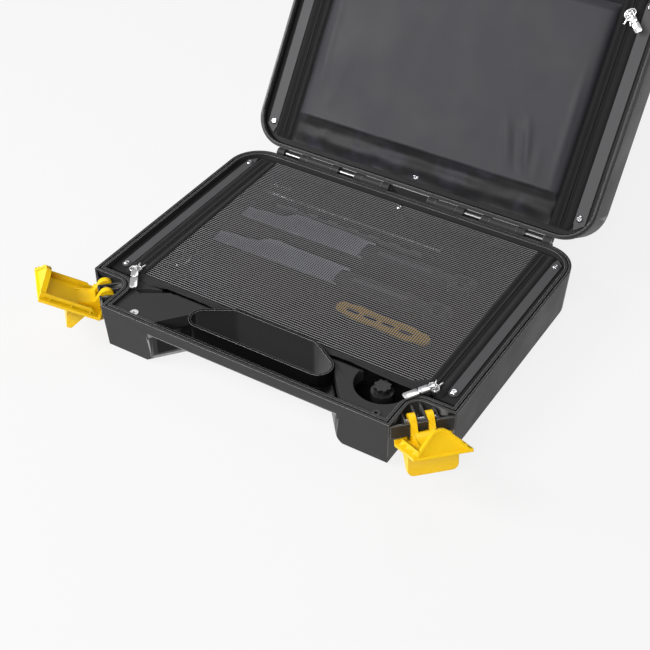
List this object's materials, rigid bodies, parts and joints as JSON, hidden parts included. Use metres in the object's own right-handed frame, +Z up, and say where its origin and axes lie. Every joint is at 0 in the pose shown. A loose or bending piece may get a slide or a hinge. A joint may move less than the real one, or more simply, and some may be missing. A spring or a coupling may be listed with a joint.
{
  "type": "hard tool case",
  "caption": "Hard tool case with an open lid, corner latches, a grip bay and a zipped mesh organizer over a foam tray of tools.",
  "frame": {"origin": "middle of the underside of the base shell, on the floor", "axes": "X across the case, +Y from the grip side to the hinge, +Z up"},
  "size_m": [0.4864, 0.5861, 0.3214],
  "materials": {
    "case_black": "fine moulded texture, satin",
    "foam": "closed-cell foam, matt",
    "panel_black": "matt",
    "eyelet": "satin",
    "strip_grey": "satin",
    "screw_steel": "bright",
    "tape": "woven",
    "hem_fabric": "woven",
    "mesh_fabric": "open mesh",
    "pocket_fabric": "satin weave",
    "pin_steel": "plain",
    "zip_metal": "bright",
    "latch_yellow": "satin",
    "tool_black": "satin",
    "tool_steel": "satin",
    "inlay_blue": "satin",
    "link_steel": "dark",
    "tool_yellow": "satin"
  },
  "bodies": {
    "base": {"base_shell": "case_black", "foam_tray": "foam", "front_panel_left": "panel_black", "front_panel_right": "panel_black", "panel_eyelets": "eyelet", "organizer_board": "panel_black", "strip_left": "strip_grey", "strip_right": "strip_grey", "board_screws": "screw_steel", "zip_tape_left": "tape", "zip_tape_right": "tape", "cover_anchor": "tape", "hinge_pins": "pin_steel", "latch_pins": "pin_steel", "star_tool": "tool_black", "cone_wrench_blades": "tool_steel", "cone_wrench_grips": "tool_black", "grip_inlays": "inlay_blue", "hook_rod": "tool_steel", "link_strip": "link_steel", "key_ring": "tool_steel", "small_bits": "tool_steel", "oval_tool": "tool_yellow"},
    "mesh_flap": {"mesh_cover": "mesh_fabric", "cover_hem": "hem_fabric", "cover_tapes": "tape"},
    "left_zip": {"zip_slider_left": "zip_metal"},
    "right_zip": {"zip_slider_right": "zip_metal"},
    "left_tab": {"pull_tab_left": "zip_metal"},
    "right_tab": {"pull_tab_right": "zip_metal"},
    "left_latch": {"latch_left": "latch_yellow"},
    "right_latch": {"latch_right": "latch_yellow"},
    "lid": {"lid_shell": "case_black", "lid_board": "panel_black", "lid_strip_left": "strip_grey", "lid_strip_right": "strip_grey", "lid_screws": "screw_steel", "lid_zip_tape_left": "tape", "lid_zip_tape_right": "tape", "lid_anchor": "tape"},
    "lid_flap": {"lid_cover": "hem_fabric", "lid_cover_tapes": "tape", "lid_pocket": "pocket_fabric"},
    "lid_left_zip": {"lid_slider_left": "zip_metal"},
    "lid_right_zip": {"lid_slider_right": "zip_metal"},
    "lid_left_tab": {"lid_tab_left": "zip_metal"},
    "lid_right_tab": {"lid_tab_right": "zip_metal"}
  },
  "joints": [
    {"name": "lid_hinge", "type": "hinge", "parent": "base", "child": "lid", "pos_m": [0, 0.165, 0.052], "axis": [-1, 0, 0], "range_deg": [-124, 0]},
    {"name": "cover_fold", "type": "hinge", "parent": "base", "child": "mesh_flap", "pos_m": [0, 0.125, 0.0468], "axis": [-1, 0, 0], "range_deg": [0, 80]},
    {"name": "latch_left_pivot", "type": "hinge", "parent": "base", "child": "left_latch", "pos_m": [-0.17778, -0.13278, 0.0465], "axis": [0.7071, -0.7071, 0], "range_deg": [-58, 0]},
    {"name": "latch_right_pivot", "type": "hinge", "parent": "base", "child": "right_latch", "pos_m": [0.17778, -0.13278, 0.0465], "axis": [0.7071, 0.7071, 0], "range_deg": [-58, 0]},
    {"name": "zip_left_slide", "type": "slide", "parent": "base", "child": "left_zip", "axis": [0, 1, 0], "range_m": [0, 0.226]},
    {"name": "tab_left_pivot", "type": "hinge", "parent": "left_zip", "child": "left_tab", "pos_m": [-0.17, -0.094, 0.0534], "axis": [-0.829, -0.5592, 0], "range_deg": [0, 110]},
    {"name": "zip_right_slide", "type": "slide", "parent": "base", "child": "right_zip", "axis": [0, 1, 0], "range_m": [0, 0.226]},
    {"name": "tab_right_pivot", "type": "hinge", "parent": "right_zip", "child": "right_tab", "pos_m": [0.17, -0.094, 0.0534], "axis": [-0.866, 0.5, 0], "range_deg": [0, 110]},
    {"name": "lid_cover_fold", "type": "hinge", "parent": "lid", "child": "lid_flap", "pos_m": [0, 0.19168, 0.08225], "axis": [1, 0, 0], "range_deg": [0, 35]},
    {"name": "lid_zip_left_slide", "type": "slide", "parent": "lid", "child": "lid_left_zip", "axis": [0, -0.5592, -0.829], "range_m": [0, 0.206]},
    {"name": "lid_tab_left_pivot", "type": "hinge", "parent": "lid_left_zip", "child": "lid_left_tab", "pos_m": [-0.17, 0.29861, 0.25258], "axis": [-0.7071, 0.3954, 0.5862], "range_deg": [0, 110]},
    {"name": "lid_zip_right_slide", "type": "slide", "parent": "lid", "child": "lid_right_zip", "axis": [0, -0.5592, -0.829], "range_m": [0, 0.206]},
    {"name": "lid_tab_right_pivot", "type": "hinge", "parent": "lid_right_zip", "child": "lid_right_tab", "pos_m": [0.17, 0.29861, 0.25258], "axis": [-0.7071, -0.3954, -0.5862], "range_deg": [0, 110]}
  ]
}
